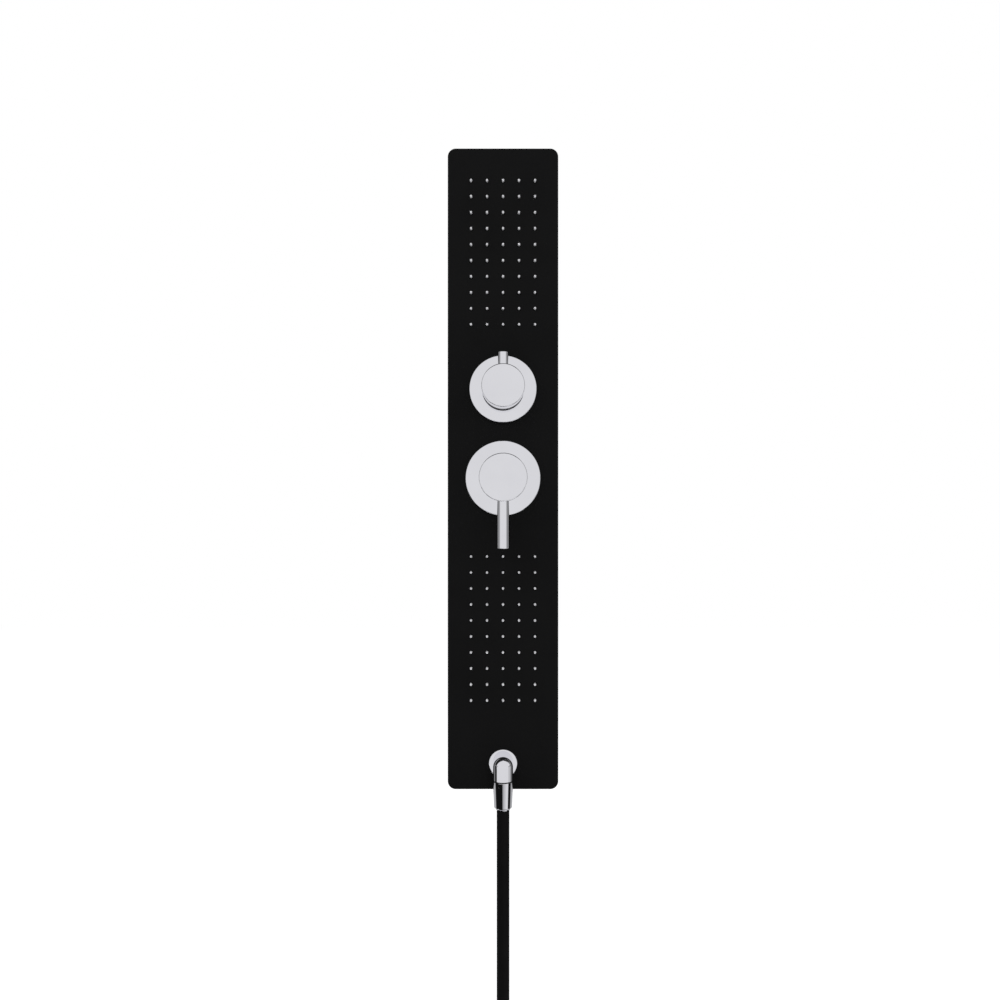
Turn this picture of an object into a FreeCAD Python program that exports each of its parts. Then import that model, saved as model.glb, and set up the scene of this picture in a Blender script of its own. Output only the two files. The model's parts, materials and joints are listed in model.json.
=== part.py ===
import FreeCAD, Part
import math
import os

# A wall-hung shower panel. Millimetres, +Z up, front towards -Y, wall plane at y = 0.
# Places along the depth are written as reach, the distance from the wall, so y = -reach.

# Spray fields
nozzle_pitch = 19.9
nozzle_columns = 5
nozzle_rows = 10
nozzle_radius = 1.35
nozzle_proud = 5.0
nozzle_tip = 0.8
nozzle_bore_radius = 0.5
nozzle_gap = 0.3

# Spacing down the panel, from the top edge to the foot
rows_below_top = 41.35
field_to_diverter = 80.55
diverter_to_mixer = 110.75
mixer_to_field = 97.45
field_to_outlet = 78.4
outlet_above_foot = 33.3

# Panel tray
panel_front = 60.0
sheet = 2.0
wall_gap = 4.0
corner_radius = 10.0
edge_round = 2.5

# Spray chambers behind the nozzles
mat_thickness = 1.5
flange_margin = 14.0
flange_thickness = 3.0
flange_corner = 6.0
chamber_wall = 2.5
rib_width = 2.0
rib_depth = 1.0
rib_cells_across = 3
rib_cells_up = 6
stud_radius = 2.0
stud_inset = 4.0
studs_per_side = 5
stud_hole_gap = 0.3
stud_past_nut = 1.5
clamp_nut_flats = 7.0
clamp_nut_height = 3.2
clamp_nut_gap = 0.5

# Water lines
tube_radius = 6.0
tube_bore_radius = 4.55
barb_length = 10.0
barb_bore_radius = 3.0
boss_radius = 8.0
boss_length = 4.0
tube_bend = 18.0
tube_side_gap = 5.0
lower_port_offset = 25.2
clip_length = 6.0
clip_thickness = 1.0
floor_behind_front = 18.0
line_behind_floor = 8.0
body_behind_line = 12.0

# Fits
fit = 0.05
loose_fit = 0.3
gasket_thickness = 1.0
disc_film = 0.05
disc_thickness = 4.0
seal_height = 1.0
seal_width = 1.5
port_overrun = 1.0

# Mixer
inlet_spacing = 70.0
inlet_radius = 10.48
inlet_bore_radius = 7.0
inlet_collar_radius = 12.5
inlet_wall_gap = 6.0
arm_radius = 11.0
arm_tube_gap = 4.0
arm_bore_radius = 4.0
mixer_body_radius = 26.0
mixer_neck_radius = 21.0
mixer_neck_proud = 18.0
mixer_cavity_radius = 17.6
mixer_thread_radius = 19.0
mixer_thread_depth = 8.0
mixer_port_radius = 2.5
mixer_port_circle = 8.0
fixing_nut_height = 5.0
fixing_nut_wall = 6.0
base_height = 3.0
mixer_disc_radius = 12.0
mixer_disc_travel = 3.2
mixer_pocket_width = 8.0
holder_height = 3.0
carrier_flange_height = 2.7
carrier_radius = 11.0
carrier_nose = 12.0
cartridge_nut_proud = 2.0
cartridge_nut_bore = 15.0
stem_width = 8.0
stem_tail_width = 5.0
stem_tail_lift = 0.6
stem_pin_radius = 2.0
stem_pin_inset = 0.5
stem_behind_pivot = 2.5
pivot_past_flange = 3.0
slot_below = 6.5
pocket_half_width = 2.8
pocket_half_height = 3.9
sleeve_radius = 23.0
sleeve_proud = 22.0
escutcheon_proud = 7.0
escutcheon_wall = 1.5
escutcheon_round = 1.0
mixer_escutcheon_radius = 46.5
handle_radius = 28.85
handle_wall = 2.5
handle_rim_proud = 24.0
handle_front_proud = 57.0
handle_front_wall = 5.0
handle_round = 1.2
hub_radius = 8.0
hub_length = 18.0
lever_radius = 7.15
lever_reach = 85.5
lever_round = 0.8
lever_stub_radius = 3.5
grub_radius = 2.5
grub_length = 5.0
grub_socket_flats = 2.5
grub_socket_depth = 2.5

# Diverter
diverter_body_radius = 24.0
diverter_neck_radius = 17.5
diverter_neck_proud = 12.0
diverter_cavity_radius = 13.5
diverter_thread_radius = 15.0
diverter_thread_depth = 6.0
diverter_port_circle = 8.0
diverter_port_radius = 2.5
diverter_disc_radius = 12.0
spindle_radius = 5.0
spindle_flange_height = 3.0
spindle_ring_width = 2.0
spindle_ring_height = 2.0
spindle_ring_inset = 4.0
gland_nut_proud = 2.0
diverter_escutcheon_radius = 41.75
knob_radius = 26.1
knob_wall = 3.6
knob_gap = 0.8
stop_ring_height = 11.5
stop_ring_step = 0.8
knob_length = 24.7
knob_front_wall = 6.0
knob_hub_radius = 9.0
knob_hub_length = 22.0
knob_grub_turn = 90.0
pin_radius = 6.2
pin_reach = 41.7
pin_round = 0.8
pin_stub_radius = 3.5

# Hose outlet
outlet_flange_radius = 17.75
outlet_flange_thickness = 4.0
outlet_thread_radius = 10.4
outlet_hole_gap = 0.4
outlet_pipe_radius = 12.25
outlet_bore_radius = 6.5
outlet_neck_step = 0.35
outlet_back_gap = 0.35
outlet_drop = 17.1
outlet_spigot = 11.4
outlet_nipple_tail = 16.0
outlet_gasket_thickness = 1.5
backnut_height = 6.0
backnut_flats = 28.0
feed_elbow_radius = 13.0
feed_elbow_gap = 0.5
feed_elbow_floor = 0.5
feed_elbow_back_wall = 1.5

# Hose, its nut at the outlet and its put-away end
hose_radius = 7.8
hose_straight = 250.0
nut_radius = 12.4
nut_cone_radius = 11.05
nut_tip_radius = 9.0
nut_length = 34.5
nut_chamfer = 0.5
nut_cone_end = 31.8
nut_tip_length = 0.9
nut_hose_gap = 0.3
washer_thickness = 2.0
washer_radius = 9.0
tail_bore_radius = 3.5
tail_radius = 5.5
tail_flange_radius = 9.8
tail_flange_thickness = 4.0
tail_length = 10.0
end_thread_radius = 9.3
end_flange_radius = 9.0
end_tail_length = 4.0
end_nut_overlap = 8.0
hank_top_gap = 20.0
hank_fold_radius = 46.8
hank_half_run = 135.0
hank_waist = 8.2
hank_layer = 16.4
hank_tail = 120.0
tie_height = 20.0
tie_thickness = 2.0
tie_gap = 0.6
gap_step = 3.0
straight_limit = 1e-6

# Wall fixing
bracket_half_width = 52.0
bracket_sheet = 2.0
bracket_plate_height = 44.0
bolt_spacing_x = 80.0
bolt_inset = 45.0
bolt_hole_radius = 3.25
hook_height = 12.0
hook_drop = 17.0
hook_play = 0.15
rail_depth = 22.0
tab_depth = 28.0
lock_screw_radius = 2.5
lock_screw_spacing = 60.0
lock_screw_inset = 16.0
lock_head_radius = 4.75
lock_head_height = 2.8
lock_screw_length = 10.0
lock_socket_flats = 3.0
lock_socket_depth = 1.8
weld_nut_flats = 8.0
weld_nut_height = 4.0

# Places worked out from the sizes above
field_width = nozzle_pitch * (nozzle_columns - 1)
field_height = nozzle_pitch * (nozzle_rows - 1)
panel_height = (rows_below_top + 2 * field_height + field_to_diverter + diverter_to_mixer
                + mixer_to_field + field_to_outlet + outlet_above_foot)
top = panel_height / 2
foot = -panel_height / 2
upper_row = top - rows_below_top
diverter_z = upper_row - field_height - field_to_diverter
mixer_z = diverter_z - diverter_to_mixer
lower_row = mixer_z - mixer_to_field
outlet_z = foot + outlet_above_foot
inlet_x = inlet_spacing / 2
arm_end = inlet_x + arm_radius
tube_x = arm_end + arm_tube_gap + tube_radius
panel_width = 2 * (tube_x + tube_radius + tube_side_gap + sheet)
panel_inside = panel_front - sheet
valve_floor = panel_front - floor_behind_front
line_reach = valve_floor - line_behind_floor
body_back = line_reach - body_behind_line
body_front = panel_inside - gasket_thickness
barb_radius = tube_bore_radius - fit
chamber_inset = stud_inset + clamp_nut_flats / math.sqrt(3) + clamp_nut_gap
nut_front = panel_front + fixing_nut_height
cap_front = panel_front + escutcheon_proud
cap_inside = cap_front - escutcheon_wall

os.makedirs("parts", exist_ok=True)


def point(x, reach, z):
    """A point given by its distance from the wall."""
    return FreeCAD.Vector(x, -reach, z)


def save(name, *solids):
    """Writes one node: a single solid, or a group of like solids."""
    shape = solids[0] if len(solids) == 1 else Part.makeCompound(list(solids))
    shape.exportStep(os.path.join("parts", name + ".step"))


def rod_out(radius, back, front, x=0.0, z=0.0):
    """A round bar along the depth, from reach back to reach front."""
    return Part.makeCylinder(radius, front - back, point(x, back, z), FreeCAD.Vector(0, -1, 0))


def rod_up(radius, low, high, x, reach):
    """An upright round bar."""
    return Part.makeCylinder(radius, high - low, point(x, reach, low))


def rod_side(radius, left, right, reach, z):
    """A round bar along X."""
    return Part.makeCylinder(radius, right - left, point(left, reach, z), FreeCAD.Vector(1, 0, 0))


def ring_out(outer, inner, back, front, x=0.0, z=0.0):
    """A ring whose axis runs along the depth."""
    return rod_out(outer, back, front, x, z).cut(rod_out(inner, back, front, x, z))


def block(left, right, back, front, low, high):
    """A box between two reaches."""
    corner = point(left, front, low)
    return Part.makeBox(right - left, front - back, high - low, corner)


def hex_out(flats, back, front, x, z):
    """A hexagon bar along the depth."""
    corner_reach = flats / math.sqrt(3)
    corners = []
    for i in range(7):
        turn = math.radians(60 * i)
        corners.append(point(x + corner_reach * math.cos(turn), back, z + corner_reach * math.sin(turn)))
    face = Part.Face(Part.makePolygon(corners))
    return face.extrude(FreeCAD.Vector(0, back - front, 0))


def hex_up(flats, low, high, x, reach):
    """An upright hexagon bar."""
    corner_reach = flats / math.sqrt(3)
    corners = []
    for i in range(7):
        turn = math.radians(60 * i)
        corners.append(point(x + corner_reach * math.cos(turn), reach + corner_reach * math.sin(turn), low))
    return Part.Face(Part.makePolygon(corners)).extrude(FreeCAD.Vector(0, 0, high - low))


def rounded_block(width, height, back, front, z, radius):
    """A box centred on x = 0 whose four edges along the depth are rounded."""
    solid = block(-width / 2, width / 2, back, front, z - height / 2, z + height / 2)
    along = [e for e in solid.Edges if abs(e.tangentAt(e.FirstParameter).y) > 0.99]
    return solid.makeFillet(radius, along)


def round_edges_at(solid, reach, radius):
    """Rounds every edge that lies in the plane at this reach."""
    edges = [e for e in solid.Edges if all(abs(v.Y + reach) < 1e-6 for v in e.Vertexes)
             and abs(e.valueAt((e.FirstParameter + e.LastParameter) / 2).y + reach) < 1e-6]
    return solid.makeFillet(radius, edges)


def round_edges_level(solid, z, radius):
    """Rounds every edge that lies in the level plane at z."""
    edges = [e for e in solid.Edges if all(abs(v.Z - z) < 1e-6 for v in e.Vertexes)
             and abs(e.valueAt((e.FirstParameter + e.LastParameter) / 2).z - z) < 1e-6]
    return solid.makeFillet(radius, edges)


def turned_up(profile, x, reach):
    """A solid turned about an upright axis from (radius, z) corners."""
    corners = [point(x + r, reach, z) for r, z in profile]
    face = Part.Face(Part.makePolygon(corners + corners[:1]))
    return face.revolve(point(x, reach, 0), FreeCAD.Vector(0, 0, 1), 360)


def nozzle_places(first_row):
    """Centres of one spray field, row by row from its top."""
    places = []
    for row in range(nozzle_rows):
        for column in range(nozzle_columns):
            places.append((column * nozzle_pitch - field_width / 2, first_row - row * nozzle_pitch))
    return places


def stud_places(first_row):
    """Centres of the clamp studs round one spray chamber."""
    centre = first_row - field_height / 2
    half_x = field_width / 2 + flange_margin - stud_inset
    half_z = field_height / 2 + flange_margin - stud_inset
    places = []
    for i in range(studs_per_side):
        z = centre + half_z * (2 * i / (studs_per_side - 1) - 1)
        places += [(-half_x, z), (half_x, z)]
    return places


fields = {"upper": upper_row, "lower": lower_row}


def make_panel():
    """The folded tray, open at the back, pierced for nozzles, valves, outlet and lock screws."""
    outer = rounded_block(panel_width, panel_height, wall_gap, panel_front, 0, corner_radius)
    outer = round_edges_at(outer, panel_front, edge_round)
    inner = rounded_block(panel_width - 2 * sheet, panel_height - 2 * sheet,
                          wall_gap, panel_inside, 0, corner_radius - sheet)
    holes = [rod_out(mixer_neck_radius + loose_fit, panel_inside, panel_front, 0, mixer_z),
             rod_out(diverter_neck_radius + loose_fit, panel_inside, panel_front, 0, diverter_z),
             rod_out(outlet_thread_radius + outlet_hole_gap, panel_inside, panel_front, 0, outlet_z)]
    for first_row in fields.values():
        for x, z in nozzle_places(first_row):
            holes.append(rod_out(nozzle_radius + nozzle_gap, panel_inside, panel_front, x, z))
    for x in lock_screw_places:
        holes.append(rod_up(lock_screw_radius + loose_fit, foot, foot + sheet, x, lock_screw_reach))
    save("front_panel", outer.cut(inner).cut(Part.makeCompound(holes)))


def rib_pockets(width, height, back, centre):
    """Shallow pockets in the back of a chamber, which leave a grid of ribs standing."""
    cell_width = (width - 2 * chamber_wall + rib_width) / rib_cells_across - rib_width
    cell_height = (height - 2 * chamber_wall + rib_width) / rib_cells_up - rib_width
    pockets = []
    for column in range(rib_cells_across):
        left = chamber_wall - width / 2 + column * (cell_width + rib_width)
        for row in range(rib_cells_up):
            low = centre - height / 2 + chamber_wall + row * (cell_height + rib_width)
            pockets.append(block(left, left + cell_width, back, back + rib_depth, low, low + cell_height))
    return Part.makeCompound(pockets)


def make_spray(name, first_row):
    """One silicone nozzle mat, its water chamber, and the studs and nuts that clamp them."""
    centre = first_row - field_height / 2
    width = field_width + 2 * flange_margin
    height = field_height + 2 * flange_margin
    mat_back = panel_inside - mat_thickness
    flange_back = mat_back - flange_thickness
    studs = stud_places(first_row)
    mat = rounded_block(width, height, mat_back, panel_inside, centre, flange_corner)
    nozzles = []
    bores = []
    tip = panel_front + nozzle_proud
    for x, z in nozzle_places(first_row):
        shank = rod_out(nozzle_radius, mat_back, tip - nozzle_tip, x, z)
        cone = Part.makeCone(nozzle_radius, nozzle_radius - nozzle_tip / 2, nozzle_tip,
                             point(x, tip - nozzle_tip, z), FreeCAD.Vector(0, -1, 0))
        nozzles.append(shank.fuse(cone))
        bores.append(rod_out(nozzle_bore_radius, mat_back, tip, x, z))
    bores += [rod_out(stud_radius + stud_hole_gap, mat_back, panel_inside, x, z) for x, z in studs]
    save(name + "_nozzle_mat", mat.multiFuse(nozzles).removeSplitter().cut(Part.makeCompound(bores)))

    box_width = width - 2 * chamber_inset
    box_height = height - 2 * chamber_inset
    chamber_back = line_reach - tube_radius - chamber_wall
    shell = rounded_block(width, height, flange_back, mat_back, centre, flange_corner)
    shell = shell.fuse(rounded_block(box_width, box_height, chamber_back, flange_back, centre, flange_corner))
    hollow = rounded_block(box_width - 2 * chamber_wall, box_height - 2 * chamber_wall,
                           chamber_back + chamber_wall, mat_back, centre, flange_corner - chamber_wall)
    shell = shell.cut(hollow).cut(rib_pockets(box_width, box_height, chamber_back, centre))
    x, side = chamber_ports[name]
    wall = centre + side * box_height / 2
    end = wall + side * barb_length
    inside = wall - side * chamber_wall
    barb = rod_up(barb_radius, min(wall, end), max(wall, end), x, line_reach)
    bore = rod_up(barb_bore_radius, min(inside, end), max(inside, end), x, line_reach)
    holes = [rod_out(stud_radius + stud_hole_gap, flange_back, mat_back, a, b) for a, b in studs]
    save(name + "_spray_chamber", shell.fuse(barb).cut(bore).cut(Part.makeCompound(holes)))

    nut_back = flange_back - clamp_nut_height
    for x, z in studs:
        clamp_studs.append(rod_out(stud_radius, nut_back - stud_past_nut, panel_inside, x, z))
        nut = hex_out(clamp_nut_flats, nut_back, flange_back, x, z)
        clamp_nuts.append(nut.cut(rod_out(stud_radius + fit, nut_back, flange_back, x, z)))


# Where the feed tubes enter the two chambers: x, and +1 for the upper end or -1 for the lower end
lower_port_x = lower_port_offset - tube_x
chamber_ports = {"upper": (0.0, -1), "lower": (lower_port_x, 1)}
clamp_studs = []
clamp_nuts = []
valve_gaskets = []
valve_port_seals = []


def chamber_port_z(name):
    """Height of the chamber wall that carries the inlet barb."""
    side = chamber_ports[name][1]
    return fields[name] - field_height / 2 + side * (field_height / 2 + flange_margin - chamber_inset)


def make_mixer_body():
    """Brass body: neck through the panel, cartridge cavity, two inlets and one outlet barb."""
    neck_front = panel_front + mixer_neck_proud
    thread_back = neck_front - mixer_thread_depth
    port_end = mixer_z + mixer_body_radius + boss_length
    barb_end = port_end + barb_length
    start = mixer_port_circle - mixer_port_radius - port_overrun
    body = rod_out(mixer_body_radius, body_back, body_front, 0, mixer_z)
    body = body.fuse(rod_out(mixer_neck_radius, body_front, neck_front, 0, mixer_z))
    body = body.fuse(rod_side(arm_radius, -arm_end, arm_end, line_reach, mixer_z))
    body = body.fuse(rod_up(boss_radius, mixer_z, port_end, 0, line_reach))
    body = body.fuse(rod_up(barb_radius, port_end, barb_end, 0, line_reach))
    for side in (-1, 1):
        body = body.fuse(rod_out(inlet_radius, inlet_wall_gap, line_reach, side * inlet_x, mixer_z))
        body = body.fuse(rod_out(inlet_collar_radius, body_back, line_reach, side * inlet_x, mixer_z))
    cuts = [rod_out(mixer_cavity_radius, valve_floor, neck_front, 0, mixer_z),
            rod_out(mixer_thread_radius, thread_back, neck_front, 0, mixer_z),
            rod_out(mixer_port_radius, line_reach, valve_floor, 0, mixer_z + mixer_port_circle),
            rod_up(barb_bore_radius, mixer_z + start, barb_end, 0, line_reach)]
    for side in (-1, 1):
        port_x = side * mixer_port_circle
        ends = sorted((side * inlet_x, side * start))
        cuts.append(rod_out(inlet_bore_radius, inlet_wall_gap, line_reach, side * inlet_x, mixer_z))
        cuts.append(rod_side(arm_bore_radius, ends[0], ends[1], line_reach, mixer_z))
        cuts.append(rod_out(mixer_port_radius, line_reach, valve_floor, port_x, mixer_z))
    save("mixer_body", body.cut(Part.makeCompound(cuts)))
    valve_gaskets.append(ring_out(mixer_body_radius, mixer_neck_radius + loose_fit,
                                  body_front, panel_inside, 0, mixer_z))
    nut = hex_out(2 * (mixer_neck_radius + fixing_nut_wall), panel_front, nut_front, 0, mixer_z)
    save("mixer_fixing_nut", nut.cut(rod_out(mixer_neck_radius + fit, panel_front, nut_front, 0, mixer_z)))


# Mixer cartridge stack, from the floor of the body towards the front
mixer_base_back = valve_floor + seal_height
mixer_fixed_back = mixer_base_back + base_height
mixer_moving_back = mixer_fixed_back + disc_thickness
holder_back = mixer_moving_back + disc_thickness
carrier_back = holder_back + holder_height + loose_fit
carrier_step = carrier_back + carrier_flange_height
carrier_front = carrier_step + carrier_nose
pivot_reach = carrier_step + pivot_past_flange
housing_front = panel_front + mixer_neck_proud - mixer_thread_depth
housing_bore = mixer_disc_radius + mixer_disc_travel + loose_fit
mixer_ports = [(-mixer_port_circle, 0.0), (mixer_port_circle, 0.0), (0.0, mixer_port_circle)]


def mixer_port_cuts(back, front):
    """The three waterways of the mixer cartridge between two reaches."""
    return Part.makeCompound([rod_out(mixer_port_radius, back, front, x, mixer_z + z)
                              for x, z in mixer_ports])


def make_mixer_cartridge():
    """Seals, base, ceramic discs, carrier, stem pin and housing inside the mixer body."""
    for x, z in mixer_ports:
        valve_port_seals.append(ring_out(mixer_port_radius + seal_width, mixer_port_radius, valve_floor,
                                         mixer_base_back, x, mixer_z + z))
    base = rod_out(housing_bore - fit, mixer_base_back, mixer_fixed_back, 0, mixer_z)
    save("mixer_cartridge_base", base.cut(mixer_port_cuts(mixer_base_back, mixer_fixed_back)))
    fixed = rod_out(housing_bore - fit, mixer_fixed_back, mixer_moving_back - disc_film, 0, mixer_z)
    save("mixer_fixed_disc", fixed.cut(mixer_port_cuts(mixer_fixed_back, mixer_moving_back)))
    moving = rod_out(mixer_disc_radius, mixer_moving_back, holder_back, 0, mixer_z)
    pocket_half = mixer_pocket_width / 2
    pocket = block(-pocket_half, pocket_half, mixer_moving_back, mixer_moving_back + disc_thickness / 2,
                   mixer_z - mixer_port_radius, mixer_z + mixer_port_circle + mixer_port_radius)
    save("mixer_moving_disc", moving.cut(pocket))
    holder = rod_out(mixer_disc_radius, holder_back, holder_back + holder_height, 0, mixer_z)
    save("mixer_disc_holder", holder.cut(block(-pocket_half_width, pocket_half_width, holder_back,
                                               holder_back + holder_height,
                                               mixer_z - pocket_half_height, mixer_z + pocket_half_height)))
    carrier = rod_out(housing_bore - loose_fit, carrier_back, carrier_step, 0, mixer_z)
    carrier = carrier.fuse(rod_out(carrier_radius, carrier_step, carrier_front, 0, mixer_z))
    slot_half = stem_width / 2 + loose_fit
    slot = block(-slot_half, slot_half, carrier_back, carrier_front,
                 mixer_z - slot_below, mixer_z + mixer_cavity_radius)
    pin_half = carrier_radius - stem_pin_inset
    pin_hole = rod_side(stem_pin_radius + fit, -carrier_radius, carrier_radius, pivot_reach, mixer_z)
    save("mixer_carrier", carrier.cut(slot).cut(pin_hole))
    save("mixer_stem_pin", rod_side(stem_pin_radius, -pin_half, pin_half, pivot_reach, mixer_z))
    housing = rod_out(mixer_cavity_radius - fit, mixer_base_back, housing_front, 0, mixer_z)
    housing = housing.cut(rod_out(housing_bore, mixer_base_back, carrier_step + loose_fit, 0, mixer_z))
    housing = housing.cut(rod_out(carrier_radius + fit, carrier_step, housing_front, 0, mixer_z))
    save("mixer_cartridge_housing", housing)
    nut_end = panel_front + mixer_neck_proud + cartridge_nut_proud
    save("mixer_cartridge_nut", ring_out(mixer_thread_radius - fit, cartridge_nut_bore,
                                         housing_front, nut_end, 0, mixer_z))


def make_mixer_trim():
    """Escutcheon, sleeve, handle, lever, stem and grub screw of the mixer."""
    make_escutcheon("mixer_escutcheon", mixer_escutcheon_radius, sleeve_radius + fit, mixer_z)
    save("mixer_sleeve", ring_out(sleeve_radius, mixer_neck_radius + fit, nut_front,
                                  panel_front + sleeve_proud, 0, mixer_z))
    rim = panel_front + handle_rim_proud
    front = panel_front + handle_front_proud
    hub_front = front - handle_front_wall
    hub_back = hub_front - hub_length
    lever_line = (rim + front) / 2
    grub_reach = (hub_back + hub_front) / 2
    half = stem_width / 2
    handle = round_edges_at(rod_out(handle_radius, rim, front, 0, mixer_z), front, handle_round)
    handle = handle.cut(rod_out(handle_radius - handle_wall, rim, hub_front, 0, mixer_z))
    handle = handle.fuse(rod_out(hub_radius, hub_back, hub_front, 0, mixer_z))
    socket = block(-half - fit, half + fit, hub_back, hub_front, mixer_z - half - fit, mixer_z + half + fit)
    grub_hole = rod_up(grub_radius + fit, mixer_z + half, mixer_z + handle_radius, 0, grub_reach)
    stub_hole = rod_up(lever_stub_radius + fit, mixer_z - handle_radius,
                       mixer_z - handle_radius + 2 * handle_wall, 0, lever_line)
    save("mixer_handle", handle.cut(socket).cut(grub_hole).cut(stub_hole))
    grub_low = mixer_z + half + fit
    grub_top = grub_low + grub_length
    grub = rod_up(grub_radius, grub_low, grub_top, 0, grub_reach)
    save("mixer_grub_screw", grub.cut(hex_up(grub_socket_flats, grub_top - grub_socket_depth, grub_top,
                                             0, grub_reach)))
    tip = mixer_z - lever_reach
    lever = round_edges_level(rod_up(lever_radius, tip, mixer_z, 0, lever_line), tip, lever_round)
    lever = lever.cut(rod_out(handle_radius + fit, rim, front, 0, mixer_z))
    stub_top = mixer_z - handle_radius + handle_wall
    save("mixer_lever", lever.fuse(rod_up(lever_stub_radius, tip + lever_reach / 2, stub_top, 0, lever_line)))
    tail_half = stem_tail_width / 2
    stem_back = pivot_reach - stem_behind_pivot
    stem = block(-half, half, stem_back, hub_front - 2 * loose_fit, mixer_z - half, mixer_z + half)
    tail = block(-tail_half, tail_half, holder_back + stem_tail_lift, stem_back,
                 mixer_z - tail_half, mixer_z + tail_half)
    pin_hole = rod_side(stem_pin_radius + fit, -half, half, pivot_reach, mixer_z)
    save("mixer_stem", stem.fuse(tail).cut(pin_hole))


def make_escutcheon(name, radius, bore, z):
    """A shallow pressed cap that hides a fixing nut."""
    cap = round_edges_at(rod_out(radius, panel_front, cap_front, 0, z), cap_front, escutcheon_round)
    cap = cap.cut(rod_out(radius - escutcheon_wall, panel_front, cap_inside, 0, z))
    save(name, cap.cut(rod_out(bore, cap_inside, cap_front, 0, z)))


# Diverter stack, from the floor of the body towards the front
diverter_neck_front = panel_front + diverter_neck_proud
diverter_housing_front = diverter_neck_front - diverter_thread_depth
diverter_fixed_back = valve_floor + seal_height
diverter_moving_back = diverter_fixed_back + disc_thickness
spindle_back = diverter_moving_back + disc_thickness
spindle_step = spindle_back + spindle_flange_height
diverter_outlets = [(-1, 0), (1, 0), (0, 1)]
stop_ring_front = cap_front + stop_ring_height
knob_rim = stop_ring_front + knob_gap
knob_front = knob_rim + knob_length
knob_hub_front = knob_front - knob_front_wall


def diverter_port_cuts(back, front):
    """The central inlet and the three outlets of the diverter between two reaches."""
    rods = [rod_out(diverter_port_radius, back, front, 0, diverter_z)]
    for side, up in diverter_outlets:
        rods.append(rod_out(diverter_port_radius, back, front, side * diverter_port_circle,
                            diverter_z + up * diverter_port_circle))
    return Part.makeCompound(rods)


def make_diverter_body():
    """Brass body: one inlet barb below and three outlet barbs, left, right and above."""
    end = diverter_body_radius + boss_length
    barb = end + barb_length
    start = diverter_port_circle - diverter_port_radius - port_overrun
    z = diverter_z
    body = rod_out(diverter_body_radius, body_back, body_front, 0, z)
    body = body.fuse(rod_out(diverter_neck_radius, body_front, diverter_neck_front, 0, z))
    body = body.fuse(rod_side(boss_radius, -end, end, line_reach, z))
    body = body.fuse(rod_up(boss_radius, z - end, z + end, 0, line_reach))
    body = body.fuse(rod_side(barb_radius, -barb, barb, line_reach, z))
    body = body.fuse(rod_up(barb_radius, z - barb, z + barb, 0, line_reach))
    cuts = [rod_out(diverter_cavity_radius, valve_floor, diverter_neck_front, 0, z),
            rod_out(diverter_thread_radius, diverter_housing_front, diverter_neck_front, 0, z),
            rod_side(barb_bore_radius, -barb, -start, line_reach, z),
            rod_side(barb_bore_radius, start, barb, line_reach, z),
            rod_up(barb_bore_radius, z + start, z + barb, 0, line_reach),
            rod_up(barb_bore_radius, z - barb, z, 0, line_reach),
            diverter_port_cuts(line_reach, valve_floor)]
    save("diverter_body", body.cut(Part.makeCompound(cuts)))
    valve_gaskets.append(ring_out(diverter_body_radius, diverter_neck_radius + loose_fit,
                                  body_front, panel_inside, 0, z))
    nut = hex_out(2 * (diverter_neck_radius + fixing_nut_wall), panel_front, nut_front, 0, z)
    save("diverter_fixing_nut", nut.cut(rod_out(diverter_neck_radius + fit, panel_front, nut_front, 0, z)))


def make_diverter_cartridge():
    """Port seal, ceramic discs, spindle with its ring, housing and gland nut."""
    z = diverter_z
    bore = diverter_disc_radius + loose_fit
    seal = rod_out(diverter_cavity_radius - fit, valve_floor, diverter_fixed_back, 0, z)
    valve_port_seals.append(seal.cut(diverter_port_cuts(valve_floor, diverter_fixed_back)))
    fixed = rod_out(bore - fit, diverter_fixed_back, diverter_moving_back - disc_film, 0, z)
    save("diverter_fixed_disc", fixed.cut(diverter_port_cuts(diverter_fixed_back, diverter_moving_back)))
    moving = rod_out(diverter_disc_radius, diverter_moving_back, spindle_back, 0, z)
    slot = block(-diverter_port_radius, diverter_port_radius, diverter_moving_back,
                 diverter_moving_back + disc_thickness / 2,
                 z - diverter_port_radius, z + diverter_port_circle + diverter_port_radius)
    save("diverter_moving_disc", moving.cut(slot))
    spindle = rod_out(diverter_disc_radius - fit, spindle_back, spindle_step, 0, z)
    spindle_front = knob_hub_front - loose_fit
    save("diverter_spindle", spindle.fuse(rod_out(spindle_radius, spindle_step, spindle_front, 0, z)))
    ring_front = diverter_housing_front - spindle_ring_inset
    ring_back = ring_front - spindle_ring_height
    ring_outer = spindle_radius + spindle_ring_width
    save("diverter_spindle_ring", ring_out(ring_outer, spindle_radius + fit, ring_back, ring_front, 0, z))
    housing = rod_out(diverter_cavity_radius - fit, diverter_fixed_back, diverter_housing_front, 0, z)
    housing = housing.cut(rod_out(bore, diverter_fixed_back, spindle_step + loose_fit, 0, z))
    housing = housing.cut(rod_out(spindle_radius + fit, spindle_step, diverter_housing_front, 0, z))
    save("diverter_cartridge_housing", housing.cut(rod_out(ring_outer + fit, ring_back, ring_front, 0, z)))
    save("diverter_gland_nut", ring_out(diverter_thread_radius - fit, spindle_radius + loose_fit,
                                        diverter_housing_front, diverter_neck_front + gland_nut_proud, 0, z))


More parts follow.
